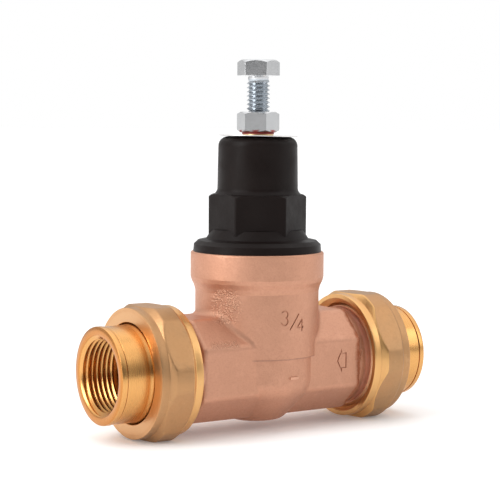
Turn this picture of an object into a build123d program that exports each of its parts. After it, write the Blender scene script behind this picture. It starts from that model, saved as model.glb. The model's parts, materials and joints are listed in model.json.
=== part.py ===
from build123d import *
from math import radians, tan
import os

# Water pressure regulator with a union on each port.
# Millimetres. X runs along the pipe, with the inlet at +X and the outlet at -X. Z is up.
# Everything is drawn about the point where the pipe axis crosses the spindle axis,
# and is lifted by AXIS_HEIGHT when it is saved, so that z = 0 is the nuts' lower flats.

# ---- Driving dimensions ------------------------------------------------------------------
COLUMN_R = 21.25            # round upper part of the casting
RING_R = 22.87              # thicker ring round its mouth
RIM_Z = 38.5                # top face of the casting
LEDGE_Z = 3.5               # where the column steps in to the lower bowl
BOWL_R = 20.65
BOWL_SHIFT = -0.55          # the lower bowl is cast slightly off centre
BOWL_FOOT_R = 9.25          # where its cone would meet the flat bottom
BOWL_BOTTOM_Z = -19.2
MARK_DEPTH = 0.35           # how far the size mark and the arrow are sunk
MARK_WIDTH = 0.45
RUN_FLAT = 17.4             # pipe axis to each main flat of the run
RUN_HALF_FLAT = 8.4         # half the height of a main flat
RUN_END = 32.5
RUN_ROUND = 2.0             # how far the ends of the run are rounded over
COLUMN_SEAM = 2.4           # fillets where the column and the bowl meet the run
BOWL_SEAM = 0.9
NECK_R = 17.2
UNION_THREAD_R = 18.5
UNION_PITCH = 2.0
UNION_THREAD_START = 36.6
UNION_FACE = 43.2           # sealing face at each end of the body
PORT_BORE_R = 10.8

NUT_APOTHEM = 22.05         # union nut, hexagonal, 44.1 across flats
NUT_CORNER_R = 23.55        # its corners are turned down to this
NUT_SHOULDER_R = 21.75      # and to a round shoulder at each end
NUT_SHOULDER = 2.9
NUT_BEVEL = 1.7             # length of the cone between the shoulder and the corners
NUT_LENGTH = 15.6
NUT_START = 34.8            # spindle axis to the inner face of a fully tightened nut
INLET_NUT_SLACK = 0.3       # the inlet nut stands this much further out
NUT_LIP = 2.6
NUT_HOLE_R = 16.9
NUT_MOUTH_R = 20.2

GASKET_THICK = 2.0
TAIL_FACE = 61.7            # spindle axis to the mouth of each tailpiece
TAIL_R = 16.05
TAIL_ROOT_R = 16.55         # it flares where it enters the nut
TAIL_FLANGE_R = 18.2
TAIL_FLANGE_THICK = 2.4
TAIL_RIM = 2.0
TAIL_RIM_R = 16.2
MOUTH_CHAMFER_R = 13.3
PORT_THREAD_R = 12.1        # minor radius of the 3/4 inch pipe thread
PORT_THREAD_DEPTH = 14.0

CUP_R = 19.45               # bore that takes the spring cage
CUP_FLOOR_Z = 29.0          # ledge that the diaphragm lies on
CHAMBER_R = 16.0            # outlet chamber under the diaphragm
WEB_TOP_Z = 5.0
WEB_BOTTOM_Z = -1.5
WEB_BORE_R = 13.0
INLET_CHAMBER_R = 15.5
INLET_FLOOR_R = 11.65
INLET_FLOOR_Z = -12.4

CAGE_FLANGE_R = 22.0
CAGE_HEX_APOTHEM = 14.65
CAGE_HEX_TOP_Z = 58.2
CAGE_TOP_Z = 77.7
CAGE_BORE_R = 11.4
CAGE_ROOF_Z = 71.0
CAGE_SKIRT_R = 19.4

DIAPHRAGM_THICK = 1.5
SLIP_RING_THICK = 0.6
STEM_TRAVEL = 2.5           # valve lift from open to closed

SCREW_R = 3.95              # 5/16 inch coarse thread
SCREW_ROOT_R = 3.1
SCREW_PITCH = 1.411
SCREW_HOLE_R = 4.03
SCREW_FLATS = 12.7
HEAD_TOP_Z = 103.7
HEAD_HEIGHT = 5.4
LOCK_NUT_Z = 79.1
LOCK_NUT_HEIGHT = 7.0
SCREW_TIP_Z = 66.1
SCREW_CLOCK = 18.0          # clocking of the screw head and lock nut, in degrees

INSERT_APOTHEM = 5.5        # hexagonal shank of the threaded insert
INSERT_TOP_Z = 78.5
INSERT_COLLAR_R = 5.3
DISC_R = 13.64              # identification disc
DISC_THICK = 0.45
SPRING_R = 9.2
SPRING_WIRE_R = 1.2
SPRING_TURNS = 7
BUTTON_TOP_Z = 66.6
BUTTON_THICK = 3.6

STEM_R = 3.5
STEM_NECK_R = 3.0           # above the diaphragm
STEM_FOOT_R = 2.5           # below the seat disc
PLATE_R = 13.2
PLATE_THICK = 1.2
SEAT_DISC_R = 7.8
SEAT_DISC_THICK = 2.5
HOLDER_R = 9.2
DISC_NUT_HEIGHT = 3.0
SEAT_Z = 0.0                # sealing edge of the seat
SEAT_BORE_R = 6.0
SEAT_R = 10.2
SEAT_TOP_Z = 3.6
CARTRIDGE_R = 11.6
CARTRIDGE_TOP_Z = 17.0
ORING_Z = 1.2
ORING_SECTION_R = 0.85
ORING_GROOVE_R = 11.2
SCREEN_R = 12.5
SCREEN_SLOTS = 24
FIT = 0.05                  # clearance of a sliding fit, on the radius

# ---- Worked out from them ----------------------------------------------------------------
AXIS_HEIGHT = NUT_APOTHEM
TAIL_START = UNION_FACE + GASKET_THICK
HEAD_BOTTOM_Z = HEAD_TOP_Z - HEAD_HEIGHT
DIAPHRAGM_TOP_Z = CUP_FLOOR_Z + DIAPHRAGM_THICK
SKIRT_BOTTOM_Z = DIAPHRAGM_TOP_Z + SLIP_RING_THICK
CENTRE_TOP_Z = DIAPHRAGM_TOP_Z - STEM_TRAVEL / 2 + FIT    # diaphragm centre, valve open
CENTRE_BOTTOM_Z = CENTRE_TOP_Z - DIAPHRAGM_THICK
SPRING_BOTTOM_Z = CENTRE_TOP_Z + PLATE_THICK
SPRING_TOP_Z = BUTTON_TOP_Z - BUTTON_THICK
DISC_TOP_Z = SEAT_Z - STEM_TRAVEL - 0.1
HOLDER_FLOOR_Z = DISC_TOP_Z - SEAT_DISC_THICK
HOLDER_BOTTOM_Z = HOLDER_FLOOR_Z - 2.0
COLLAR_R = WEB_BORE_R - 0.1
CARTRIDGE_FLOOR_Z = INLET_FLOOR_Z + 1.2


# ---- Shape helpers -----------------------------------------------------------------------
def outline(points, rounds=()):
    """A closed face in the XZ plane. rounds holds (point number, radius) pairs."""
    face = Plane.XZ * make_face(Polyline(*points, close=True))
    for number, radius in rounds:
        x, z = points[number]
        corner = face.vertices().sort_by_distance(Vector(x, 0, z))[0]
        face = fillet(corner, radius)
    return face


def turned(points, rounds=()):
    """A solid of revolution about Z from (radius, height) points."""
    return revolve(outline(points, rounds), Axis.Z)


def tube(outer, inner, bottom, top):
    return turned([(inner, bottom), (outer, bottom), (outer, top), (inner, top)])


def rod(radius, bottom, top):
    return turned([(0, bottom), (radius, bottom), (radius, top), (0, top)])


def prism(sides, apothem, bottom, top, turn=0.0, corner=0.0):
    """An upright prism with its corners optionally rounded."""
    section = RegularPolygon(apothem, sides, major_radius=False, rotation=turn)
    if corner > 0:
        section = fillet(section.vertices(), corner)
    return Pos(0, 0, bottom) * extrude(section, top - bottom)


def bevelled(edge_r, corner_r, bottom, top, slope):
    """The turned blank that bevels a nut's corners at both ends, at a slope from its axis."""
    drop = (corner_r - edge_r) / tan(radians(slope))
    return turned([
        (0, bottom), (edge_r, bottom), (corner_r, bottom + drop),
        (corner_r, top - drop), (edge_r, top), (0, top),
    ])


def ring_thread(crest, root, pitch, start, count):
    """Points up the outside of a thread drawn as separate rings."""
    points = []
    for turn in range(count):
        base = start + turn * pitch
        points += [(root, base), (crest, base + 0.42 * pitch), (crest, base + 0.58 * pitch)]
    return points + [(root, start + count * pitch)]


def to_port(shape, side):
    """Lay a piece drawn along +Z down along the pipe: side is +1 at the inlet, -1 at the outlet."""
    return Rotation(0, 90 * side, 0) * shape


# ---- Body casting ------------------------------------------------------------------------
def run_section():
    """Octagon with long flats and rounded corners, the section of the run."""
    full, half = RUN_FLAT, RUN_HALF_FLAT
    corners = [
        (full, half), (half, full), (-half, full), (-full, half),
        (-full, -half), (-half, -full), (half, -full), (full, -half),
    ]
    face = make_face(Polyline(*corners, close=True))
    return fillet(face.vertices(), 3.0)


def blended(first, second, radius):
    """Two castings joined, with a fillet all along the seam between them."""
    joined = first + second
    return fillet(new_edges(first, second, combined=joined), radius)


def body_outside():
    """Column above the ledge, bowl below it, each blended into the run."""
    run = Rotation(0, 90, 0) * extrude(run_section(), RUN_END, both=True)
    run = fillet(run.faces().sort_by(Axis.X)[0].edges(), RUN_ROUND)
    run = fillet(run.faces().sort_by(Axis.X)[-1].edges(), RUN_ROUND)
    column = turned(
        [
            (0, -14.0), (COLUMN_R, -14.0), (COLUMN_R, 25.2), (21.7, 27.0),
            (22.5, 28.6), (RING_R, 30.0), (RING_R, RIM_Z), (0, RIM_Z),
        ],
        rounds=[(3, 4.0), (6, 0.7)],
    )
    cone = BOWL_R - BOWL_FOOT_R
    bowl = Pos(BOWL_SHIFT, 0, 0) * turned(
        [
            (0, BOWL_BOTTOM_Z), (BOWL_FOOT_R, BOWL_BOTTOM_Z),
            (BOWL_R, BOWL_BOTTOM_Z + cone), (BOWL_R, 14.0), (0, 14.0),
        ],
        rounds=[(1, 5.0), (2, 8.0)],
    )
    above = Pos(0, 0, LEDGE_Z + 50) * Box(100, 100, 100)
    below = Pos(0, 0, LEDGE_Z - 50) * Box(100, 100, 100)
    return (blended(column, run, COLUMN_SEAM) & above) + (blended(bowl, run, BOWL_SEAM) & below)


def union_end(side):
    """Neck and male union thread at one end of the run."""
    rings = int((UNION_FACE - 0.6 - UNION_THREAD_START) / UNION_PITCH)
    thread = ring_thread(
        UNION_THREAD_R, UNION_THREAD_R - 1.0, UNION_PITCH, UNION_THREAD_START, rings
    )
    inner = RUN_END - 6
    profile = [(0, inner), (NECK_R, inner), (NECK_R, UNION_THREAD_START)]
    profile += thread + [(UNION_THREAD_R - 1.0, UNION_FACE), (0, UNION_FACE)]
    return to_port(turned(profile), side)


def body_inside():
    cup = rod(CUP_R, CUP_FLOOR_Z, RIM_Z + 1)
    mouth = turned([
        (0, RIM_Z - 0.6), (CUP_R, RIM_Z - 0.6), (CUP_R + 0.6, RIM_Z), (0, RIM_Z),
    ])
    outlet_chamber = rod(CHAMBER_R, WEB_TOP_Z, CUP_FLOOR_Z + 1)
    web_bore = rod(WEB_BORE_R, WEB_BOTTOM_Z - 1, WEB_TOP_Z + 1)
    taper = INLET_CHAMBER_R - INLET_FLOOR_R
    inlet_chamber = turned([
        (0, INLET_FLOOR_Z), (INLET_FLOOR_R, INLET_FLOOR_Z),
        (INLET_CHAMBER_R, INLET_FLOOR_Z + taper), (INLET_CHAMBER_R, WEB_BOTTOM_Z),
        (0, WEB_BOTTOM_Z),
    ])
    inlet_port = to_port(rod(PORT_BORE_R, 19.5, UNION_FACE + 1), 1)
    outlet_port = to_port(rod(PORT_BORE_R, 17.5, UNION_FACE + 1), -1)
    inlet_passage = Pos(16.5, 0, -6.4) * Box(8, 15, 7.6)
    riser = Pos(-17.1, 0, 10.2) * Box(4.2, 18, 17.4) & rod(18.5, 0, 20)
    cavity = cup + mouth + outlet_chamber + web_bore + inlet_chamber
    return cavity + inlet_port + outlet_port + inlet_passage + riser


def size_mark():
    """The pipe size, sunk into the front of the column."""
    three = [CenterArc((-3.0, 18.7), 1.2, -80, 230), CenterArc((-3.0, 16.4), 1.25, 80, -240)]
    slash = [Line((2.8, 18.7), (-0.9, 13.5))]
    four = [Line(a, b) for a, b in (
        ((4.3, 12.8), (4.3, 16.9)), ((4.3, 16.9), (2.1, 14.1)), ((2.1, 14.1), (5.0, 14.1)),
    )]
    sheet = Plane(origin=(0, -COLUMN_R + 2, 0), x_dir=(1, 0, 0), z_dir=(0, -1, 0))
    skin = tube(COLUMN_R + 1, COLUMN_R - MARK_DEPTH, 8, 24)
    strokes = [trace(stroke, MARK_WIDTH) for stroke in three + slash + four]
    return [extrude(sheet * stroke, 4) & skin for stroke in strokes]


def flow_arrow():
    """Outline of an arrow on the front flat, pointing the way the water goes."""
    corners = [
        (21.7, 0.8), (23.7, 5.0), (23.9, 3.6), (25.8, 3.6), (25.8, -1.8), (23.9, -1.8), (23.7, -3.2),
    ]
    shape = make_face(Polyline(*corners, close=True))
    line = shape - offset(shape, -MARK_WIDTH)
    sheet = Plane(origin=(0, -RUN_FLAT + MARK_DEPTH, 0), x_dir=(1, 0, 0), z_dir=(0, -1, 0))
    return extrude(sheet * line, 1)


def casting_dash():
    """Small raised dash left by the mould, low on the front of the bowl."""
    return Pos(1.4, -BOWL_R + 0.1, -3.0) * Box(3.4, 1.0, 0.8)


def body():
    outside = body_outside()
    ends = union_end(1) + union_end(-1)
    solid = outside + ends + casting_dash()
    return solid - body_inside() - size_mark() - flow_arrow()


# ---- Unions ------------------------------------------------------------------------------
def union_nut(side, slack):
    """Hexagon cut from a turned blank that has a round shoulder and a short cone at each end."""
    start = NUT_START + slack
    end = start + NUT_LENGTH
    half = [
        (0.0, 0.0), (NUT_SHOULDER_R - 0.35, 0.0), (NUT_SHOULDER_R, 0.35),
        (NUT_SHOULDER_R, NUT_SHOULDER), (NUT_CORNER_R, NUT_SHOULDER + NUT_BEVEL),
    ]
    near = [(radius, start + height) for radius, height in half]
    far = [(radius, end - height) for radius, height in reversed(half)]
    block = prism(6, NUT_APOTHEM, start, end, 30.0) & turned(near + far)
    thread_r = UNION_THREAD_R + FIT
    bore = turned([
        (0, start - 1), (NUT_MOUTH_R, start - 1), (NUT_MOUTH_R, start), (thread_r, start + 1.2),
        (thread_r, end - NUT_LIP), (NUT_HOLE_R, end - NUT_LIP),
        (NUT_HOLE_R, end - 0.15), (NUT_HOLE_R + 0.15, end), (NUT_HOLE_R + 0.15, end + 1), (0, end + 1),
    ])
    return to_port(block - bore, side)


def tailpiece(side):
    flange_end = TAIL_START + TAIL_FLANGE_THICK
    groove = TAIL_FACE - TAIL_RIM
    thread_end = TAIL_FACE - PORT_THREAD_DEPTH
    shape = turned(
        [
            (PORT_BORE_R, TAIL_START), (TAIL_FLANGE_R, TAIL_START), (TAIL_FLANGE_R, flange_end),
            (TAIL_ROOT_R, flange_end), (TAIL_ROOT_R, flange_end + 2.2),
            (TAIL_R, flange_end + 4.2), (TAIL_R, groove - 0.3),
            (TAIL_R - 0.25, groove - 0.2), (TAIL_R - 0.25, groove), (TAIL_RIM_R, groove + 0.15),
            (TAIL_RIM_R, TAIL_FACE - 0.3), (TAIL_RIM_R - 0.3, TAIL_FACE),
            (MOUTH_CHAMFER_R, TAIL_FACE), (PORT_THREAD_R, TAIL_FACE - 1.2),
            (PORT_THREAD_R, thread_end), (PORT_BORE_R, thread_end - 1.0),
        ],
    )
    return to_port(shape, side)


def union_gasket(side):
    return to_port(tube(UNION_THREAD_R - 1.6, PORT_BORE_R + 1.0, UNION_FACE, TAIL_START), side)


# ---- Spring cage and adjuster ------------------------------------------------------------
def spring_cage():
    rings = 3
    skirt = ring_thread(CAGE_SKIRT_R, CAGE_SKIRT_R - 0.8, 2.0, SKIRT_BOTTOM_Z + 0.6, rings)
    flange = turned(
        [(0, SKIRT_BOTTOM_Z), (CAGE_SKIRT_R - 0.8, SKIRT_BOTTOM_Z)] + skirt
        + [
            (CAGE_SKIRT_R - 0.8, RIM_Z), (CAGE_FLANGE_R, RIM_Z), (21.8, 41.0), (20.4, 42.3),
            (17.6, 42.9), (15.6, 46.0), (0, 46.0),
        ],
    )
    shoulder = turned(
        [(0, 42.0), (18.0, 42.0), (17.4, CAGE_HEX_TOP_Z), (0, CAGE_HEX_TOP_Z)],
        rounds=[(2, 3.0)],
    )
    hexagon = prism(6, CAGE_HEX_APOTHEM, 42.0, CAGE_HEX_TOP_Z, 30.0, corner=1.0) & shoulder
    barrel = turned(
        [(0, 57.0), (14.9, 57.9), (13.82, 59.4), (13.5, CAGE_TOP_Z), (0, CAGE_TOP_Z)],
        rounds=[(2, 2.0), (3, 3.3)],
    )
    hollow = turned([
        (0, SKIRT_BOTTOM_Z), (15.2, SKIRT_BOTTOM_Z), (15.2, 37.0), (CAGE_BORE_R, 41.0),
        (CAGE_BORE_R, CAGE_ROOF_Z), (0, CAGE_ROOF_Z),
    ])
    pocket = prism(6, INSERT_APOTHEM, CAGE_ROOF_Z - 1, CAGE_TOP_Z + 1)
    return flange + hexagon + barrel - hollow - pocket


def threaded_insert():
    flange = rod(8.5, CAGE_ROOF_Z - 1.5, CAGE_ROOF_Z)
    shank = prism(6, INSERT_APOTHEM, CAGE_ROOF_Z, CAGE_TOP_Z)
    collar = rod(INSERT_COLLAR_R, CAGE_TOP_Z, INSERT_TOP_Z)
    return flange + shank + collar - rod(SCREW_HOLE_R, CAGE_ROOF_Z - 3, CAGE_TOP_Z + 3)


def identification_disc():
    return tube(DISC_R, INSERT_COLLAR_R + 0.3, CAGE_TOP_Z, CAGE_TOP_Z + DISC_THICK)


def seal_washer():
    return tube(5.5, SCREW_HOLE_R, INSERT_TOP_Z, LOCK_NUT_Z)


def lock_nut():
    top = LOCK_NUT_Z + LOCK_NUT_HEIGHT
    block = prism(6, SCREW_FLATS / 2, LOCK_NUT_Z, top, SCREW_CLOCK, corner=0.15)
    block = block & bevelled(6.0, 7.33, LOCK_NUT_Z, top, 60.0)
    hole = turned([
        (0, LOCK_NUT_Z - 1), (SCREW_HOLE_R, LOCK_NUT_Z - 1), (SCREW_HOLE_R, top - 0.5),
        (SCREW_HOLE_R + 0.5, top), (SCREW_HOLE_R + 0.5, top + 1), (0, top + 1),
    ])
    return block - hole


def adjusting_screw():
    blank = turned([
        (0, HEAD_BOTTOM_Z), (7.33, HEAD_BOTTOM_Z), (7.33, HEAD_TOP_Z - 0.8),
        (6.0, HEAD_TOP_Z), (0, HEAD_TOP_Z),
    ])
    head = prism(6, SCREW_FLATS / 2, HEAD_BOTTOM_Z, HEAD_TOP_Z, SCREW_CLOCK, corner=0.15) & blank
    neck = 1.6
    rings = int((HEAD_BOTTOM_Z - neck - SCREW_TIP_Z - 0.6) / SCREW_PITCH)
    thread_start = HEAD_BOTTOM_Z - neck - rings * SCREW_PITCH
    thread = ring_thread(SCREW_R, SCREW_ROOT_R, SCREW_PITCH, thread_start, rings)
    shank = turned(
        [(0, SCREW_TIP_Z), (SCREW_ROOT_R - 0.4, SCREW_TIP_Z)] + thread
        + [(3.5, HEAD_BOTTOM_Z - neck + 0.2), (3.5, HEAD_BOTTOM_Z), (0, HEAD_BOTTOM_Z)]
    )
    return head + shank


def spring_button():
    pilot = 2.5
    dimple = 4.4
    return turned([
        (0, SPRING_TOP_Z - pilot), (7.0, SPRING_TOP_Z - pilot), (7.6, SPRING_TOP_Z - 1.5),
        (7.6, SPRING_TOP_Z), (10.9, SPRING_TOP_Z), (10.9, BUTTON_TOP_Z - 0.8),
        (10.1, BUTTON_TOP_Z), (dimple, BUTTON_TOP_Z), (dimple - 0.5, SCREW_TIP_Z),
        (0, SCREW_TIP_Z),
    ])


def range_spring():
    """Coil spring with its ends ground flat."""
    height = SPRING_TOP_Z - SPRING_BOTTOM_Z
    pitch = (height - 2 * SPRING_WIRE_R) / SPRING_TURNS
    line = Helix(pitch=pitch, height=height, radius=SPRING_R)
    section = Plane(origin=line @ 0, z_dir=line % 0) * Circle(SPRING_WIRE_R)
    coil = Pos(0, 0, SPRING_BOTTOM_Z) * sweep(section, path=line)
    return coil & tube(SPRING_R + 3, SPRING_R - 3, SPRING_BOTTOM_Z, SPRING_TOP_Z)


# ---- Diaphragm and valve -----------------------------------------------------------------
def slip_ring():
    return tube(18.9, 15.4, DIAPHRAGM_TOP_Z, SKIRT_BOTTOM_Z)


def diaphragm():
    thick = DIAPHRAGM_THICK
    low, high = CENTRE_BOTTOM_Z, CUP_FLOOR_Z
    return turned([
        (STEM_NECK_R + FIT, low), (13.4, low), (14.3, low + 0.25), (15.2, high - 0.25),
        (15.8, high), (18.9, high), (18.9, high + thick), (15.2, high + thick),
        (14.5, high + thick - 0.25), (13.5, low + thick + 0.2), (12.8, low + thick),
        (STEM_NECK_R + FIT, low + thick),
    ])


def pressure_plate():
    return turned([
        (STEM_NECK_R + FIT, CENTRE_TOP_Z), (PLATE_R - 0.6, CENTRE_TOP_Z),
        (PLATE_R, CENTRE_TOP_Z + 0.6), (PLATE_R, SPRING_BOTTOM_Z + 1.6),
        (PLATE_R - 1.0, SPRING_BOTTOM_Z + 1.6), (PLATE_R - 1.2, SPRING_BOTTOM_Z),
        (STEM_NECK_R + FIT, SPRING_BOTTOM_Z),
    ])


def stem_nut():
    height = 4.0
    nut = prism(6, 5.0, SPRING_BOTTOM_Z, SPRING_BOTTOM_Z + height)
    return nut - rod(STEM_NECK_R + FIT, SPRING_BOTTOM_Z - 1, SPRING_BOTTOM_Z + height + 1)


def valve_stem():
    foot = HOLDER_BOTTOM_Z - DISC_NUT_HEIGHT - 0.6
    return turned([
        (0, foot), (STEM_FOOT_R, foot),
        (STEM_FOOT_R, DISC_TOP_Z), (STEM_R, DISC_TOP_Z), (STEM_R, CENTRE_BOTTOM_Z - 2.5),
        (11.0, CENTRE_BOTTOM_Z - 1.6), (11.5, CENTRE_BOTTOM_Z - 1.0), (11.5, CENTRE_BOTTOM_Z),
        (STEM_NECK_R, CENTRE_BOTTOM_Z), (STEM_NECK_R, SPRING_BOTTOM_Z + 5.0),
        (0, SPRING_BOTTOM_Z + 5.0),
    ])


def seat_disc():
    return tube(SEAT_DISC_R, STEM_FOOT_R + FIT, HOLDER_FLOOR_Z, DISC_TOP_Z)


def disc_holder():
    recess = SEAT_DISC_R + FIT
    lip = DISC_TOP_Z - 1.0
    return turned([
        (STEM_FOOT_R + FIT, HOLDER_BOTTOM_Z), (HOLDER_R - 0.6, HOLDER_BOTTOM_Z),
        (HOLDER_R, HOLDER_BOTTOM_Z + 0.6), (HOLDER_R, lip), (recess, lip), (recess, HOLDER_FLOOR_Z),
        (STEM_FOOT_R + FIT, HOLDER_FLOOR_Z),
    ])


def disc_nut():
    nut = prism(6, 4.0, HOLDER_BOTTOM_Z - DISC_NUT_HEIGHT, HOLDER_BOTTOM_Z)
    return nut - rod(STEM_FOOT_R + FIT, HOLDER_BOTTOM_Z - 4, HOLDER_BOTTOM_Z + 1)


# ---- Cartridge ---------------------------------------------------------------------------
def cartridge_cage():
    groove = ORING_SECTION_R + 0.1
    shell = turned([
        (0, INLET_FLOOR_Z), (CARTRIDGE_R, INLET_FLOOR_Z), (CARTRIDGE_R, WEB_BOTTOM_Z),
        (COLLAR_R, WEB_BOTTOM_Z), (COLLAR_R, ORING_Z - groove), (ORING_GROOVE_R, ORING_Z - groove),
        (ORING_GROOVE_R, ORING_Z + groove),
        (COLLAR_R, ORING_Z + groove), (COLLAR_R, WEB_TOP_Z), (15.0, WEB_TOP_Z),
        (15.0, WEB_TOP_Z + 1.5), (10.5, WEB_TOP_Z + 1.5), (10.5, CARTRIDGE_TOP_Z),
        (0, CARTRIDGE_TOP_Z),
    ])
    valve_room = rod(SEAT_R + FIT, CARTRIDGE_FLOOR_Z, SEAT_TOP_Z)
    barrel_room = rod(8.5, SEAT_TOP_Z - 1, CARTRIDGE_TOP_Z - 2)
    guide = rod(STEM_R + FIT, CARTRIDGE_TOP_Z - 3, CARTRIDGE_TOP_Z + 1)
    lower_windows = [
        Rotation(0, 0, 60 * n) * Pos(10.9, 0, -6.3) * Box(4, 7, 7) for n in range(6)
    ]
    upper_windows = [
        Rotation(0, 0, 90 * n) * Pos(9.5, 0, 10.7) * Box(5, 9, 6.4) for n in range(4)
    ]
    return shell - valve_room - barrel_room - guide - lower_windows - upper_windows


def seat_ring():
    return turned([
        (SEAT_BORE_R, SEAT_Z + 0.2), (SEAT_BORE_R + 0.3, SEAT_Z), (SEAT_BORE_R + 0.7, SEAT_Z),
        (SEAT_BORE_R + 1.2, SEAT_Z + 0.8), (SEAT_R, SEAT_Z + 0.8), (SEAT_R, SEAT_TOP_Z),
        (SEAT_BORE_R, SEAT_TOP_Z),
    ])


def cartridge_o_ring():
    ring_r = ORING_GROOVE_R + ORING_SECTION_R + 0.02
    section = Plane.XZ * (Pos(ring_r, ORING_Z) * Circle(ORING_SECTION_R))
    return revolve(section, Axis.Z)


def strainer_screen():
    sleeve = tube(SCREEN_R, SCREEN_R - 0.5, INLET_FLOOR_Z + 1.0, WEB_BOTTOM_Z)
    middle = Pos(SCREEN_R - 0.3, 0, (INLET_FLOOR_Z + WEB_BOTTOM_Z + 1.0) / 2)
    step = 360 / SCREEN_SLOTS
    slots = [Rotation(0, 0, step * n) * middle * Box(2, 1.2, 7.6) for n in range(SCREEN_SLOTS)]
    return sleeve - slots


# ---- Save --------------------------------------------------------------------------------
def nodes():
    """Every piece of the regulator by name."""
    return {
        "body": body(),
        "inlet_union_gasket": union_gasket(1),
        "outlet_union_gasket": union_gasket(-1),
        "inlet_tailpiece": tailpiece(1),
        "outlet_tailpiece": tailpiece(-1),
        "inlet_union_nut": union_nut(1, INLET_NUT_SLACK),
        "outlet_union_nut": union_nut(-1, 0.0),
        "spring_cage": spring_cage(),
        "threaded_insert": threaded_insert(),
        "identification_disc": identification_disc(),
        "seal_washer": seal_washer(),
        "lock_nut": lock_nut(),
        "adjusting_screw": adjusting_screw(),
        "spring_button": spring_button(),
        "range_spring": range_spring(),
        "slip_ring": slip_ring(),
        "diaphragm": diaphragm(),
        "pressure_plate": pressure_plate(),
        "stem_nut": stem_nut(),
        "valve_stem": valve_stem(),
        "seat_disc": seat_disc(),
        "disc_holder": disc_holder(),
        "disc_nut": disc_nut(),
        "cartridge_cage": cartridge_cage(),
        "seat_ring": seat_ring(),
        "cartridge_o_ring": cartridge_o_ring(),
        "strainer_screen": strainer_screen(),
    }


os.makedirs("parts", exist_ok=True)
for name, shape in nodes().items():
    export_step(Pos(0, 0, AXIS_HEIGHT) * shape, f"parts/{name}.step")
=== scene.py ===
"""Looks for the water pressure regulator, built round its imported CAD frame."""
import json
import math

import bmesh
import bpy
from mathutils import Matrix, Vector


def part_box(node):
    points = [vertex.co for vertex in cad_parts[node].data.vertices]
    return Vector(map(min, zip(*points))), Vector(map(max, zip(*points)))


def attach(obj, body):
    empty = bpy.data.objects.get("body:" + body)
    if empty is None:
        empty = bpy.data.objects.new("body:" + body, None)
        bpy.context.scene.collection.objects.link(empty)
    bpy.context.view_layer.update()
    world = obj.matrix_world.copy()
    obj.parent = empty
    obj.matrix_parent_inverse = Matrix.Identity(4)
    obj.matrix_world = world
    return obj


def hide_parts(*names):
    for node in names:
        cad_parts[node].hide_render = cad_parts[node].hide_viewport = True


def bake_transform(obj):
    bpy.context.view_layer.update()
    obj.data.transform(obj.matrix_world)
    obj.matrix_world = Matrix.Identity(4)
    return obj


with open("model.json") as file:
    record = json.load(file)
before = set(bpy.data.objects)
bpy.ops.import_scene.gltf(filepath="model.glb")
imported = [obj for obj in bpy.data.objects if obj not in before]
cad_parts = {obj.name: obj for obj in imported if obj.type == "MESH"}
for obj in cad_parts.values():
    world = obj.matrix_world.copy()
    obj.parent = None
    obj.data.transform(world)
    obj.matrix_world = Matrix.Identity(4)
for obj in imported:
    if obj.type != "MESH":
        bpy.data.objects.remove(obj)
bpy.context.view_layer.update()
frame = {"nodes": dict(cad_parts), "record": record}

MM = 0.001
inlet_low, inlet_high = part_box("inlet_tailpiece")
AXIS_Z = (inlet_low.z + inlet_high.z) / 2      # height of the pipe axis
TAIL_MOUTH = inlet_high.x                      # spindle axis to the mouth of a tailpiece
TAIL_START = inlet_low.x                       # spindle axis to the flange end of a tailpiece
LEDGE_Z = AXIS_Z + 3.5 * MM                    # where the column steps in to the bowl
THREAD_X = 36.6 * MM                           # spindle axis to the start of a union thread
HEAD_DEPTH = 5.4 * MM                          # of the adjusting screw's hexagon head


# ---- Camera, floor and light ---------------------------------------------------------------
CAMERA_PLACE = (-0.3039, -0.4509, AXIS_Z + 0.0812)
CAMERA_TURN = -33.719                          # degrees about the upright
CAMERA_DROP = 4.463                            # degrees that it looks down
CAMERA_ROLL = 0.391
CAMERA_LENS = 114.24                           # on a 36 mm sensor
FRONT = (-0.559, -0.829, 0.0)                  # towards the camera's side of the room
SIDE_LIGHT = 0.73                              # strength of the room's walls
FRONT_LIGHT = 0.034                            # and of the one behind the camera
TOP_LIGHT = 0.86                               # what the ceiling adds
LIGHT_AIM = (0, 0, 0.06)


def add_camera():
    data = bpy.data.cameras.new("camera")
    data.sensor_width = 36.0
    data.lens = CAMERA_LENS
    camera = bpy.data.objects.new("camera", data)
    turn = Matrix.Rotation(math.radians(CAMERA_TURN), 4, "Z")
    tilt = Matrix.Rotation(math.radians(90 - CAMERA_DROP), 4, "X")
    roll = Matrix.Rotation(math.radians(CAMERA_ROLL), 4, "Z")
    camera.matrix_world = Matrix.Translation(CAMERA_PLACE) @ turn @ tilt @ roll
    bpy.context.collection.objects.link(camera)
    bpy.context.scene.camera = camera


def add_light(name, place, width, height, power):
    data = bpy.data.lights.new(name, "AREA")
    data.shape = "RECTANGLE"
    data.size = width
    data.size_y = height
    data.energy = power
    light = bpy.data.objects.new(name, data)
    light.location = place
    light.rotation_euler = (Vector(LIGHT_AIM) - Vector(place)).to_track_quat("-Z", "Y").to_euler()
    bpy.context.collection.objects.link(light)


def add_floor():
    size = 40.0
    corners = [(-size, -size, 0), (size, -size, 0), (size, size, 0), (-size, size, 0)]
    mesh = bpy.data.meshes.new("floor")
    mesh.from_pydata(corners, [], [(0, 1, 2, 3)])
    floor = bpy.data.objects.new("floor", mesh)
    bpy.context.collection.objects.link(floor)
    material = bpy.data.materials.new("pale_floor")
    material.use_nodes = True
    shader = material.node_tree.nodes["Principled BSDF"]
    shader.inputs["Base Color"].default_value = (0.92, 0.92, 0.92, 1)
    shader.inputs["Emission Color"].default_value = (1, 1, 1, 1)
    shader.inputs["Emission Strength"].default_value = 0.14
    shader.inputs["Roughness"].default_value = 0.9
    shader.inputs["Specular IOR Level"].default_value = 0.0
    mesh.materials.append(material)


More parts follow.
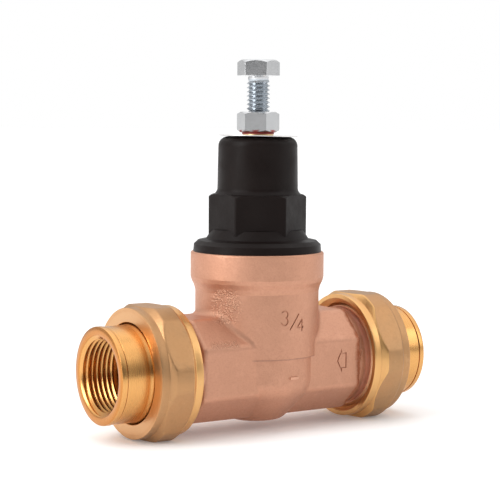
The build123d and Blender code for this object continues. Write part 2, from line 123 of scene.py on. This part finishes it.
def add_world():
    """A pale room: brightest overhead, and dim on the side that the camera is on."""
    world = bpy.data.worlds.new("studio")
    world.use_nodes = True
    nodes, links = world.node_tree.nodes, world.node_tree.links

    def between(value, low, high, start, end):
        node = nodes.new("ShaderNodeMapRange")
        node.interpolation_type = "SMOOTHSTEP"
        links.new(value, node.inputs[0])
        for socket, number in zip(node.inputs[1:5], (low, high, start, end)):
            socket.default_value = number
        return node.outputs[0]

    def combine(operation, a, b):
        node = nodes.new("ShaderNodeMath")
        node.operation = operation
        links.new(a, node.inputs[0])
        links.new(b, node.inputs[1])
        return node.outputs[0]

    direction = nodes.new("ShaderNodeTexCoord").outputs["Generated"]
    apart = nodes.new("ShaderNodeSeparateXYZ")
    links.new(direction, apart.inputs[0])
    facing = nodes.new("ShaderNodeVectorMath")
    facing.operation = "DOT_PRODUCT"
    links.new(direction, facing.inputs[0])
    facing.inputs[1].default_value = FRONT
    walls = between(facing.outputs["Value"], -0.1, 0.95, SIDE_LIGHT, FRONT_LIGHT)
    ceiling = between(apart.outputs["Z"], 0.25, 0.95, 0.0, TOP_LIGHT)
    seen = nodes["Background"]
    seen.inputs["Color"].default_value = (1, 1, 1, 1)
    room = nodes.new("ShaderNodeBackground")
    room.inputs["Color"].default_value = (1, 1, 1, 1)
    links.new(combine("ADD", walls, ceiling), room.inputs["Strength"])
    path = nodes.new("ShaderNodeLightPath")
    mix = nodes.new("ShaderNodeMixShader")
    links.new(path.outputs["Is Camera Ray"], mix.inputs[0])
    links.new(room.outputs[0], mix.inputs[1])
    links.new(seen.outputs[0], mix.inputs[2])
    links.new(mix.outputs[0], nodes["World Output"].inputs["Surface"])
    bpy.context.scene.world = world


add_camera()
add_floor()
add_world()
add_light("left", (-0.74, 0.02, 0.42), 0.35, 0.60, 4.2)
add_light("right", (0.60, -0.50, 0.40), 0.30, 0.50, 0.75)
bpy.context.scene.view_settings.view_transform = "Standard"


# ---- Materials -----------------------------------------------------------------------------
class Finish:
    """A Principled material built up from procedural layers in the row frame."""

    def __init__(self, name, colour, metallic, roughness, **settings):
        self.material = bpy.data.materials.new(name)
        self.material.use_nodes = True
        self.nodes = self.material.node_tree.nodes
        self.links = self.material.node_tree.links
        self.shader = self.nodes["Principled BSDF"]
        self.colour = tuple(colour)
        self.shader.inputs["Base Color"].default_value = (*colour, 1)
        self.shader.inputs["Metallic"].default_value = metallic
        self.shader.inputs["Roughness"].default_value = roughness
        for key, value in settings.items():
            self.shader.inputs[key.replace("_", " ")].default_value = value
        self.place = self.nodes.new("ShaderNodeTexCoord")
        self.normal = None

    def feed(self, socket, value):
        if isinstance(value, (int, float)):
            socket.default_value = value
        elif isinstance(value, tuple):
            socket.default_value = (*value, 1) if len(socket.default_value) == 4 else value
        else:
            self.links.new(value, socket)

    def math(self, operation, a, b=0.0, c=0.0):
        node = self.nodes.new("ShaderNodeMath")
        node.operation = operation
        for socket, value in zip(node.inputs, (a, b, c)):
            self.feed(socket, value)
        return node.outputs[0]

    def axes(self, output="Object"):
        node = self.nodes.new("ShaderNodeSeparateXYZ")
        self.links.new(self.place.outputs[output], node.inputs[0])
        return node.outputs

    def vector(self, x, y, z=0.0):
        node = self.nodes.new("ShaderNodeCombineXYZ")
        for socket, value in zip(node.inputs, (x, y, z)):
            self.feed(socket, value)
        return node.outputs[0]

    def noise(self, scale, detail=3.0, rough=0.55, where=None):
        node = self.nodes.new("ShaderNodeTexNoise")
        self.links.new(where or self.place.outputs["Object"], node.inputs["Vector"])
        node.inputs["Scale"].default_value = scale
        node.inputs["Detail"].default_value = detail
        node.inputs["Roughness"].default_value = rough
        return node.outputs[0]

    def cells(self, scale):
        node = self.nodes.new("ShaderNodeTexVoronoi")
        self.links.new(self.place.outputs["Object"], node.inputs["Vector"])
        node.inputs["Scale"].default_value = scale
        return node.outputs["Distance"]

    def between(self, value, low, high, start=0.0, end=1.0):
        node = self.nodes.new("ShaderNodeMapRange")
        node.interpolation_type = "SMOOTHSTEP"
        for socket, number in zip(node.inputs, (value, low, high, start, end)):
            self.feed(socket, number)
        return node.outputs[0]

    def product(self, *factors):
        total = factors[0]
        for factor in factors[1:]:
            total = self.math("MULTIPLY", total, factor)
        return total

    def band(self, value, start, full, hold, end):
        """1 between full and hold, fading to 0 at start and at end."""
        return self.product(self.between(value, start, full), self.between(value, hold, end, 1.0, 0.0))

    def near(self, centre, reach, soft):
        """1 within reach of a point, fading to 0 over soft, all in metres."""
        node = self.nodes.new("ShaderNodeVectorMath")
        node.operation = "DISTANCE"
        self.links.new(self.place.outputs["Object"], node.inputs[0])
        node.inputs[1].default_value = centre
        return self.between(node.outputs["Value"], reach, reach + soft, 1.0, 0.0)

    def tint(self, factor, colour):
        """Lays a colour over what is there, by factor."""
        node = self.nodes.new("ShaderNodeMix")
        node.data_type = "RGBA"
        self.feed(node.inputs["Factor"], factor)
        base = self.shader.inputs["Base Color"]
        if base.is_linked:
            self.links.new(base.links[0].from_socket, node.inputs["A"])
        else:
            node.inputs["A"].default_value = base.default_value[:]
        self.feed(node.inputs["B"], colour)
        self.links.new(node.outputs["Result"], base)

    def rough(self, factor, value):
        """Moves the roughness towards value, by factor."""
        node = self.nodes.new("ShaderNodeMix")
        self.feed(node.inputs["Factor"], factor)
        base = self.shader.inputs["Roughness"]
        if base.is_linked:
            self.links.new(base.links[0].from_socket, node.inputs["A"])
        else:
            node.inputs["A"].default_value = base.default_value
        node.inputs["B"].default_value = value
        self.links.new(node.outputs["Result"], base)

    def bump(self, height, depth, strength=1.0):
        """Relief of the given depth in metres, over any laid before it."""
        node = self.nodes.new("ShaderNodeBump")
        node.inputs["Distance"].default_value = depth
        self.feed(node.inputs["Strength"], strength)
        self.links.new(height, node.inputs["Height"])
        if self.normal is not None:
            self.links.new(self.normal, node.inputs["Normal"])
        self.normal = node.outputs[0]
        self.links.new(self.normal, self.shader.inputs["Normal"])

    def radius(self, along_x):
        """Distance from the pipe axis, or from the spindle axis."""
        x, y, z = self.axes()
        other = self.math("SUBTRACT", z, AXIS_Z) if along_x else x
        return self.math("SQRT", self.math("ADD", self.product(y, y), self.product(other, other)))

    def outward(self):
        """How far the surface faces away from the spindle axis along the pipe, from -1 to 1."""
        return self.product(self.math("SIGN", self.axes()["X"]), self.axes("Normal")["X"])

    def lathe_marks(self, scale, along_x):
        """Fine rings round the pipe axis, or round the spindle axis."""
        along = self.axes()["X" if along_x else "Z"]
        return self.noise(scale, 4.0, 0.6, self.vector(along, self.radius(along_x)))


def pimples(f, x, z):
    """Left by rough sand: one patch on the column and one along the upper facet, on the outlet side."""
    upper = f.band(z, AXIS_Z + 8.0 * MM, AXIS_Z + 9.0 * MM, AXIS_Z + 9.6 * MM, AXIS_Z + 11.2 * MM)
    facet = f.product(upper, f.band(x, -30.0 * MM, -28.0 * MM, -19.0 * MM, -17.0 * MM))
    column = f.near((-19.0 * MM, -9.5 * MM, AXIS_Z + 21.2 * MM), 4.2 * MM, 3.5 * MM)
    patch = f.math("MAXIMUM", column, facet)
    bumps = f.product(f.between(f.cells(1500), 0.20, 0.62, 1.0, 0.0), patch)
    f.tint(f.product(bumps, 0.40), (0.84, 0.52, 0.36))
    f.tint(f.product(f.math("SUBTRACT", patch, bumps), 0.30), (0.40, 0.21, 0.14))
    f.bump(bumps, 0.18 * MM)


def pits(f):
    """A few shallow ones anywhere."""
    some = f.between(f.noise(95, 3.0), 0.60, 0.72)
    holes = f.product(f.between(f.cells(420), 0.10, 0.30, 1.0, 0.0), some)
    f.tint(f.product(holes, 0.18), (0.40, 0.21, 0.15))
    f.bump(f.math("SUBTRACT", 1.0, holes), 0.08 * MM)


def ledge_shade_and_marks(f, x, y, z):
    """Painted shade along the ledge, ragged skin where the run ends, and a dash low on the front."""
    ragged = f.noise(300, 4.0, 0.7)
    level = f.math("ADD", z, f.product(ragged, 0.5 * MM))
    # Painted shade: a ragged dark line along the ledge where the column steps in to the bowl.
    line = f.band(level, LEDGE_Z - 0.2 * MM, LEDGE_Z + 0.1 * MM, LEDGE_Z + 0.3 * MM, LEDGE_Z + 0.6 * MM)
    front = f.band(x, -14.0 * MM, -12.0 * MM, 10.5 * MM, 12.5 * MM)
    f.tint(f.product(line, front, 0.5), (0.30, 0.16, 0.12))

    across = f.math("ADD", x, f.product(ragged, 3.0 * MM))
    edge = f.band(across, 31.2 * MM, 32.6 * MM, 33.0 * MM, 34.5 * MM)
    skin = f.product(edge, f.between(f.noise(650, 4.0, 0.7), 0.32, 0.52, 0.35, 1.0))
    f.tint(f.product(skin, 0.90), (0.46, 0.165, 0.080))
    f.rough(skin, 0.75)
    f.bump(f.math("SUBTRACT", 1.0, skin), 0.2 * MM)

    height = f.math("ABSOLUTE", f.math("SUBTRACT", z, AXIS_Z - 3.0 * MM))
    dash = f.product(f.band(x, -0.6 * MM, -0.1 * MM, 3.0 * MM, 3.5 * MM),
                     f.between(height, 0.4 * MM, 0.7 * MM, 1.0, 0.0),
                     f.between(y, -0.5 * MM, 0.0, 0.30, 0.0))
    f.tint(dash, (0.92, 0.56, 0.40))


def cast_bronze():
    f = Finish("cast_bronze", (0.590, 0.308, 0.202), 0.86, 0.46)
    x, y, z = f.axes()
    f.tint(f.between(f.noise(42, 4.0), 0.35, 0.72), (0.545, 0.282, 0.184))
    f.tint(f.between(f.noise(320, 3.0), 0.48, 0.80, 0.0, 0.30), (0.70, 0.38, 0.26))
    f.tint(f.between(f.noise(150, 5.0, 0.7), 0.60, 0.78, 0.0, 0.30), (0.47, 0.235, 0.155))
    grain = f.noise(1500, 4.0, 0.65)
    f.tint(f.between(grain, 0.52, 0.75, 0.0, 0.35), (0.50, 0.26, 0.18))
    f.rough(f.between(grain, 0.35, 0.70), 0.60)
    f.bump(f.noise(260, 3.0, 0.6), 0.16 * MM)
    f.bump(grain, 0.06 * MM)
    pimples(f, x, z)
    pits(f)
    ledge_shade_and_marks(f, x, y, z)
    # The necks under the union nuts are paler. The union threads and the bores are machined.
    out = f.math("ABSOLUTE", x)
    before = THREAD_X - 0.1 * MM
    after = THREAD_X + 0.1 * MM
    neck = f.band(out, 33.8 * MM, 35.0 * MM, before, after)
    f.tint(f.product(neck, 0.9), (0.93, 0.56, 0.44))
    cut = f.between(out, before, after)
    f.tint(f.product(cut, 0.6), (0.66, 0.38, 0.18))
    f.rough(cut, 0.34)
    return f.material


def turned_brass():
    f = Finish("turned_brass", (0.68, 0.355, 0.122), 1.0, 0.22)
    marks = f.lathe_marks(3600, True)
    f.tint(f.between(f.noise(55, 4.0), 0.38, 0.74, 0.0, 0.5), (0.66, 0.325, 0.105))
    f.tint(f.between(f.noise(240, 5.0, 0.65), 0.60, 0.80, 0.0, 0.4), (0.58, 0.31, 0.14))
    f.rough(f.between(marks, 0.30, 0.75), 0.30)
    f.rough(f.between(f.noise(130, 3.0), 0.45, 0.75, 0.0, 0.5), 0.34)
    f.bump(marks, 0.012 * MM)
    f.bump(f.noise(900, 3.0), 0.008 * MM)
    mouth = f.between(f.outward(), 0.80, 0.95)
    f.tint(mouth, (0.54, 0.225, 0.062))
    return f.material


def nut_brass():
    f = Finish("nut_brass", (0.485, 0.265, 0.122), 0.92, 0.40)
    f.tint(f.between(f.noise(60, 4.0), 0.36, 0.70), (0.41, 0.240, 0.120))
    f.tint(f.between(f.noise(210, 5.0, 0.7), 0.55, 0.78, 0.0, 0.5), (0.33, 0.19, 0.10))
    grain = f.noise(1300, 4.0, 0.65)
    f.rough(f.between(grain, 0.35, 0.70), 0.50)
    f.bump(f.noise(330, 3.0, 0.6), 0.08 * MM)
    f.bump(grain, 0.04 * MM)
    # The inside, and the cone and shoulder on the side of the body, are machined bright.
    outward = f.outward()
    facing = f.between(outward, -0.35, -0.20, 1.0, 0.0)
    shoulder = f.between(f.math("ABSOLUTE", f.axes()["X"]), 37.8 * MM, 38.0 * MM, 1.0, 0.0)
    inside = f.between(f.radius(True), 20.1 * MM, 20.3 * MM, 1.0, 0.0)
    cut = f.math("MAXIMUM", f.math("MAXIMUM", facing, shoulder), inside)
    marks = f.lathe_marks(3400, True)
    f.tint(cut, (0.70, 0.395, 0.155))
    f.rough(f.product(cut, f.between(marks, 0.2, 0.8, 0.6, 1.0)), 0.30)
    f.tint(f.between(outward, 0.80, 0.95), (0.64, 0.360, 0.170))
    # Light knocks where a wrench has been.
    knocks = f.between(f.noise(300, 4.0, 0.6), 0.62, 0.74)
    f.tint(f.product(knocks, 0.22), (0.66, 0.42, 0.22))
    f.bump(f.math("SUBTRACT", 1.0, knocks), 0.06 * MM)
    return f.material


def black_nylon():
    f = Finish("black_nylon", (0.0078, 0.0046, 0.0040), 0.0, 0.38, Specular_IOR_Level=0.11)
    f.tint(f.between(f.noise(70, 4.0), 0.40, 0.72, 0.0, 0.7), (0.011, 0.0072, 0.0064))
    f.tint(f.between(f.noise(900, 5.0, 0.7), 0.60, 0.78, 0.0, 0.5), (0.022, 0.016, 0.014))
    f.rough(f.between(f.noise(160, 4.0), 0.35, 0.70), 0.52)
    f.bump(f.noise(1200, 4.0, 0.6), 0.03 * MM)
    f.bump(f.noise(180, 2.0), 0.06 * MM)
    return f.material


def zinc(name):
    f = Finish(name, (0.60, 0.605, 0.612), 1.0, 0.21)
    f.tint(f.between(f.noise(120, 4.0), 0.36, 0.72), (0.57, 0.577, 0.588))
    f.tint(f.between(f.noise(700, 5.0, 0.7), 0.60, 0.80, 0.0, 0.18), (0.44, 0.45, 0.465))
    f.rough(f.between(f.noise(260, 4.0), 0.35, 0.70), 0.235)
    f.bump(f.noise(1100, 4.0, 0.65), 0.004 * MM)
    return f


def screw_finish():
    f = zinc("zinc_screw")
    f.bump(f.lathe_marks(2600, False), 0.005 * MM)
    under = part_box("adjusting_screw")[1].z - HEAD_DEPTH
    shank = f.between(f.axes()["Z"], under - 1.3 * MM, under - 0.9 * MM, 0.9, 0.0)
    f.tint(shank, (0.43, 0.465, 0.50))
    return f.material


def lock_nut_finish():
    """Sealing compound is squeezed up over the lower bevel, but not out to the corners."""
    f = zinc("zinc_lock_nut")
    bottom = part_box("lock_nut")[0].z
    ragged = f.math("ADD", f.axes()["Z"], f.product(f.noise(420, 3.0), 0.9 * MM))
    smear = f.product(f.between(ragged, bottom + 1.1 * MM, bottom + 1.4 * MM, 1.0, 0.0),
                      f.between(f.radius(False), 6.3 * MM, 6.6 * MM, 1.0, 0.0))
    f.tint(smear, (0.30, 0.035, 0.025))
    f.rough(smear, 0.45)
    return f.material


def plain(name, colour, metallic, roughness, second, relief=0.02, turned=False):
    """A simpler finish for the pieces inside, with relief in millimetres."""
    f = Finish(name, colour, metallic, roughness)
    f.tint(f.between(f.noise(110, 4.0), 0.38, 0.72), second)
    f.rough(f.between(f.noise(300, 4.0), 0.35, 0.70), min(1.0, roughness + 0.12))
    f.bump(f.noise(1000, 4.0, 0.6), relief * MM)
    if turned:
        f.bump(f.lathe_marks(3000, False), 0.01 * MM)
    return f.material


LOCK_NUT = lock_nut_finish()
BY_SLOT = {
    "cast_bronze": cast_bronze(),
    "turned_brass": turned_brass(),
    "nut_brass": nut_brass(),
    "black_nylon": black_nylon(),
    "zinc_steel": screw_finish(),
    "insert_brass": plain("insert_brass", (0.82, 0.60, 0.30), 1.0, 0.26, (0.70, 0.48, 0.24),
                          turned=True),
    "label_metal": plain("label_metal", (0.78, 0.77, 0.76), 0.9, 0.36, (0.70, 0.69, 0.68), 0.03),
    "red_seal": plain("red_seal", (0.34, 0.04, 0.03), 0.0, 0.42, (0.22, 0.025, 0.02)),
    "plain_steel": plain("plain_steel", (0.52, 0.53, 0.55), 1.0, 0.34, (0.42, 0.43, 0.45), turned=True),
    "spring_steel": plain("spring_steel", (0.28, 0.29, 0.31), 1.0, 0.38, (0.20, 0.20, 0.22)),
    "stainless": plain("stainless", (0.64, 0.65, 0.66), 1.0, 0.30, (0.55, 0.56, 0.57), turned=True),
    "white_acetal": plain("white_acetal", (0.78, 0.78, 0.74), 0.0, 0.32, (0.72, 0.71, 0.67)),
    "diaphragm_rubber": plain("diaphragm_rubber", (0.030, 0.030, 0.033), 0.0, 0.62,
                              (0.045, 0.045, 0.047), 0.04),
    "gasket": plain("gasket", (0.06, 0.06, 0.065), 0.0, 0.70, (0.09, 0.09, 0.095), 0.05),
}
for part in frame["record"]["subparts"]:
    node = frame["nodes"][part["node"]]
    finish = LOCK_NUT if part["node"] == "lock_nut" else BY_SLOT[part["material_slot"]]
    for slot in node.material_slots:
        slot.material = finish


# ---- Mesh helpers --------------------------------------------------------------------------
MERGE = 2e-7                                   # points closer than this are one, in metres
SLIVER = 1e-8                                  # edges shorter than this go


class Shell:
    """Gathers rings of points into one mesh. Everything is about the local Z axis, in metres."""

    def __init__(self):
        self.points = []
        self.faces = []

    def spun(self, profiles, shift=0):
        """Joins profiles, one per angle as (angle, [(radius, height), ...]), all the way round.
        A helix comes back shift points further along its profile."""
        start, count, turns = len(self.points), len(profiles[0][1]), len(profiles)
        for angle, profile in profiles:
            for radius, height in profile:
                self.points.append((radius * math.cos(angle), radius * math.sin(angle), height))
        for j in range(turns):
            here, there = start + j * count, start + (j + 1) % turns * count
            slip = shift if j == turns - 1 else 0
            for i in range(count - 1):
                near = min(max(i + slip, 0), count - 1)
                far = min(max(i + 1 + slip, 0), count - 1)
                face = [here + i, there + near, there + far, here + i + 1]
                self.faces.append(face if near != far else face[:2] + face[3:])

    def piece(self, name, body, slot, matrix=None, sharp=32.0):
        """The mesh as an object that rides on a body, with its slot's finish. Edges over sharp degrees
        stay sharp. Given no body, it rides on none."""
        mesh = bpy.data.meshes.new(name)
        mesh.from_pydata(self.points, [], self.faces)
        if matrix is not None:
            mesh.transform(matrix)
        work = bmesh.new()
        work.from_mesh(mesh)
        bmesh.ops.remove_doubles(work, verts=work.verts, dist=MERGE)
        bmesh.ops.dissolve_degenerate(work, edges=work.edges, dist=SLIVER)
        bmesh.ops.recalc_face_normals(work, faces=work.faces)
        work.to_mesh(mesh)
        work.free()
        mesh.shade_smooth()
        mesh.set_sharp_from_angle(angle=math.radians(sharp))
        mesh.materials.append(BY_SLOT[slot])
        obj = bpy.data.objects.new(name, mesh)
        bpy.context.collection.objects.link(obj)
        if body is not None:
            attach(obj, body)
        return obj


def thread_profile(angle, pitch, start, end, rows, shaped):
    """(radius, height) points up one side of a right-handed thread between start and end.
    rows holds (share of the pitch, radius) pairs, and shaped(height, radius) eases the ends."""
    turns = int(math.ceil((end - start) / pitch)) + 2
    profile = []
    for turn in range(-1, turns):
        for share, radius in rows:
            height = start + (turn - 1 + share + angle / (2 * math.pi)) * pitch
            height = min(max(height, start), end)
            profile.append((shaped(height, radius), height))
    return profile


def angles(count):
    return [2 * math.pi * j / count for j in range(count)]


def along_pipe(side):
    """Lays what was drawn along +Z from the spindle axis along the pipe, to the inlet or the outlet."""
    return Matrix.Translation((0, 0, AXIS_Z)) @ Matrix.Rotation(math.radians(90 * side), 4, "Y")


# ---- Tailpieces, with their pipe threads ------------------------------------------------------
def tailpiece(side, name):
    bore, minor, sunk = 10.8 * MM, 12.1 * MM, 13.30 * MM
    depth, pitch = 1.20 * MM, 1.814 * MM
    mouth, start = TAIL_MOUTH, TAIL_START
    groove = mouth - 2.0 * MM
    top, bottom = mouth - 0.12 * MM, mouth - 14.0 * MM
    # (radius, distance from the start) over the flange and the neck that flares from it.
    flange = [
        (18.0, 0.0), (18.2, 0.2), (18.2, 2.2), (18.0, 2.4), (16.55, 2.4), (16.55, 4.5), (16.45, 5.0),
        (16.20, 5.8), (16.08, 6.3), (16.05, 6.7),
    ]
    # (radius, distance from the groove), and then (radius, distance from the mouth).
    grooved = [(16.05, -0.30), (15.98, -0.22), (15.80, -0.18), (15.78, -0.05), (15.95, 0.02),
               (16.12, 0.06), (16.20, 0.16)]
    lip = [(16.20, -0.45), (16.10, -0.15), (15.85, 0.0), (13.55, 0.0), (13.30, -0.12)]
    outside = [(bore, start)]
    for origin, steps in ((start, flange), (groove, grooved), (mouth, lip)):
        outside += [(radius * MM, origin + step * MM) for radius, step in steps]

    def shaped(height, radius):
        """The mouth's countersink cuts the first turn, and the last one runs out."""
        sink = sunk - (top - height) * 1.10
        fade = min(1.0, max(0.0, (height - bottom) / (1.6 * pitch)))
        taper = (top - height) / 32
        threaded = minor + (radius - minor) * fade - taper * fade * (radius > minor)
        return max(threaded, sink)

    rows = [(0.0, minor), (0.10, minor), (0.50, minor + depth), (0.60, minor + depth)]
    rest = [(shaped(bottom, minor), bottom), (bore, bottom - 1.0 * MM)] + outside
    rest.append((shaped(top, minor), top))
    shell = Shell()
    around = angles(96)
    shell.spun([(angle, thread_profile(angle, pitch, bottom, top, rows, shaped)) for angle in around],
               len(rows))
    shell.spun([(angle, rest) for angle in around])
    piece = shell.piece(f"{name}_tailpiece_turned", f"{name}_tail", "turned_brass", along_pipe(side))
    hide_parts(f"{name}_tailpiece")


tailpiece(1, "inlet")
tailpiece(-1, "outlet")


# ---- Union nuts, with soft edges and the thread inside the mouth --------------------------------
def soft_least(a, b, blend):
    """The smaller of two radii, eased together where they are within blend of each other."""
    share = max(0.0, blend - abs(a - b)) / blend
    return min(a, b) - share * share * blend / 4


def union_nut(side, name):
    low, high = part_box(f"{name}_union_nut")
    start, end = sorted((abs(low.x), abs(high.x)))
    flat, corner = (high.z - low.z) / 2, (high.y - low.y) / 2
    shoulder, crest, root, pitch = 21.75 * MM, 18.55 * MM, 19.45 * MM, 2.0 * MM
    mouth, hole, inside = 20.2 * MM, 16.9 * MM, end - 2.6 * MM

    def blank(along):
        """Radius of the turned blank at a distance from its nearer end: shoulder, then cone."""
        cone = min(1.0, max(0.0, (along - 2.9 * MM) / (1.7 * MM)))
        edge = max(0.0, 0.35 * MM - along)
        return shoulder - edge * edge / (0.7 * MM) + (corner - shoulder) * cone * (1.12 - 0.12 * cone)

    steps = [0.0, 0.1, 0.22, 0.36, 1.2, 2.1, 2.6, 2.8, 2.95]
    steps += [3.1 + 0.2 * step for step in range(9)]
    steps += [5.0, 5.8, 6.8]
    heights = [start + step * MM for step in steps] + [(start + end) / 2]
    heights += [end - step * MM for step in reversed(steps)]

    def shaped(height, radius):
        """The mouth is countersunk, and the thread runs out before the lip."""
        fade = min(1.0, max(0.0, (inside - height) / pitch))
        return max(crest + (radius - crest) * fade, mouth - (height - start) * 1.375)

    rows = [(0.0, crest), (0.14, crest), (0.50, root), (0.62, root)]
    shell = Shell()
    threads, outsides = [], []
    for angle in angles(240):
        off = (angle + math.radians(30)) % math.radians(60) - math.radians(30)
        plane = flat / math.cos(off)
        outer = []
        for height in heights:
            turned = blank(min(height - start, end - height))
            outer.append((soft_least(turned, plane, 0.30 * MM), height))
        lip = [(hole + 0.15 * MM, end), (hole, end - 0.15 * MM), (hole, inside)]
        lip.append((shaped(inside, crest), inside))
        outsides.append((angle, [(shaped(start, crest), start)] + outer + lip))
        threads.append((angle, thread_profile(angle, pitch, start, inside, rows, shaped)))
    shell.spun(outsides)
    shell.spun(threads, len(rows))
    piece = shell.piece(f"{name}_union_nut_threaded", f"{name}_nut", "nut_brass", along_pipe(side), 26.0)
    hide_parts(f"{name}_union_nut")


union_nut(1, "inlet")
union_nut(-1, "outlet")


# ---- Adjusting screw, with its thread and hexagon head -----------------------------------------
def hexagon(flat, corner):
    """(angle, radius) pairs round a hexagon of that apothem, its corners rounded."""
    reach = (flat - corner) / math.cos(math.radians(30))
    edge = math.radians(30) - math.atan((flat - corner) * math.tan(math.radians(30)) / flat)
    pairs = []
    for side in range(6):
        middle = math.radians(60 * side)
        for share in (-0.9, -0.5, 0.0, 0.5, 0.9):
            off = share * (math.radians(30) - edge)
            pairs.append((middle + off, flat / math.cos(off)))
        for share in (-1.0, -0.6, -0.2, 0.2, 0.6, 1.0):
            off = share * edge
            across = reach * math.sin(off)
            radius = reach * math.cos(off) + math.sqrt(max(0.0, corner ** 2 - across ** 2))
            pairs.append((middle + math.radians(30) + off, radius))
    return pairs


def adjusting_screw():
    low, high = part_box("adjusting_screw")
    tip, top = low.z, high.z
    under = top - HEAD_DEPTH
    crest, root, pitch = 3.95 * MM, 3.10 * MM, 1.411 * MM
    neck = under - 1.25 * MM
    plain_r = 3.52 * MM
    clock = math.radians(48)                   # the way the head points
    shell = Shell()

    head = []
    for angle, radius in hexagon(6.35 * MM, 0.22 * MM):
        bevel = 0.6 * max(0.0, radius - 6.05 * MM)
        head.append((angle + clock, [
            (0.0, under), (3.0 * MM, under), (radius - 0.12 * MM, under), (radius, under + 0.12 * MM),
            (radius, top - 0.16 * MM - bevel), (radius - 0.06 * MM, top - 0.07 * MM - bevel),
            (min(radius, 6.20 * MM), top - 0.12 * MM), (5.90 * MM, top - 0.01 * MM), (5.70 * MM, top),
            (2.0 * MM, top), (0.0, top),
        ]))
    shell.spun(head)

    def shaped(height, radius):
        """The thread runs out under the head and is chamfered at the tip."""
        fade = min(1.0, max(0.0, (neck - height) / (0.9 * pitch)))
        radius = plain_r + (radius - plain_r) * fade
        return min(radius, 2.7 * MM + (height - tip) * 0.9)

    rows = [(0.0, root), (0.10, root), (0.46, crest), (0.56, crest)]
    around = angles(72)
    shell.spun([(angle, thread_profile(angle, pitch, tip, neck, rows, shaped)) for angle in around],
               len(rows))
    point = [(0.0, tip), (2.7 * MM, tip)]
    fillet = [(shaped(neck, crest), neck), (plain_r, under - 0.25 * MM), (3.75 * MM, under)]
    inside_head = [(3.75 * MM, under + 0.5 * MM), (0.0, under + 0.5 * MM)]
    for end in (point, fillet + inside_head):
        shell.spun([(angle, end) for angle in around])
    piece = shell.piece("adjusting_screw_threaded", "screw", "zinc_steel", sharp=24.0)
    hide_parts("adjusting_screw")


adjusting_screw()


# ---- Identification disc, thin sheet that has been bent a little ---------------------------------
def identification_disc():
    low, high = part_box("identification_disc")
    outer, inner, flat = high.x, 5.6 * MM, 9.0 * MM
    thick, steps = 0.30 * MM, 14
    shell = Shell()
    profiles = []
    for angle in angles(120):
        upper, lower = [], []
        for step in range(steps + 1):
            radius = inner + (outer - inner) * step / steps
            reach = max(0.0, (radius - flat) / (outer - flat)) ** 2
            lift = reach * MM * (0.14 + 0.16 * math.cos(angle - 2.6) + 0.07 * math.cos(3 * angle + 0.5))
            upper.append((radius, low.z + thick + lift))
            lower.append((radius, low.z + 0.02 * MM + lift))
        edge = upper[-1][0] - 0.05 * MM
        upper[-1] = (edge, upper[-1][1])
        lower[-1] = (edge, lower[-1][1])
        rim = [(outer, (upper[-1][1] + lower[-1][1]) / 2)]
        profiles.append((angle, upper + rim + lower[::-1] + upper[:1]))
    shell.spun(profiles)
    piece = shell.piece("identification_disc_sheet", "root", "label_metal", sharp=50.0)
    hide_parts("identification_disc")


identification_disc()


# ---- Range spring, in two stretches of coil, riding on no body -----------------------------------
def spring_coil(bottom, top, first, last):
    """A stretch of the coil between two heights of its centre line. Its outer ends are ground flat."""
    radius, wire, around = 9.2 * MM, 1.2 * MM, 16
    pitch = (top - bottom - 2 * wire) / 7
    steps = max(2, round((last - first) / pitch * 48))
    shell = Shell()
    for step in range(steps + 1):
        centre = first + (last - first) * step / steps
        angle = 2 * math.pi * (centre - bottom) / pitch
        for turn in angles(around):
            reach = radius + wire * math.cos(turn)
            height = min(max(centre + wire * math.sin(turn), bottom), top)
            shell.points.append((reach * math.cos(angle), reach * math.sin(angle), height))
    for step in range(steps):
        here, there = step * around, (step + 1) * around
        for i in range(around):
            j = (i + 1) % around
            shell.faces.append([here + i, there + i, there + j, here + j])
    shell.faces.append(list(range(around)))
    shell.faces.append(list(range(steps * around, (steps + 1) * around)))
    return shell


def range_spring():
    low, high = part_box("range_spring")
    still = low.z + 8 * MM                     # the height where the coil is split in two
    stretches = (("range_spring_lower", low.z, still, "valve", "root"),
                 ("range_spring_upper", still, high.z, "root", "screw_carriage"))
    for name, first, last, below, above in stretches:
        piece = spring_coil(low.z, high.z, first, last).piece(name, None, "spring_steel")
        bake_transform(piece)
        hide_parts("range_spring")


range_spring()
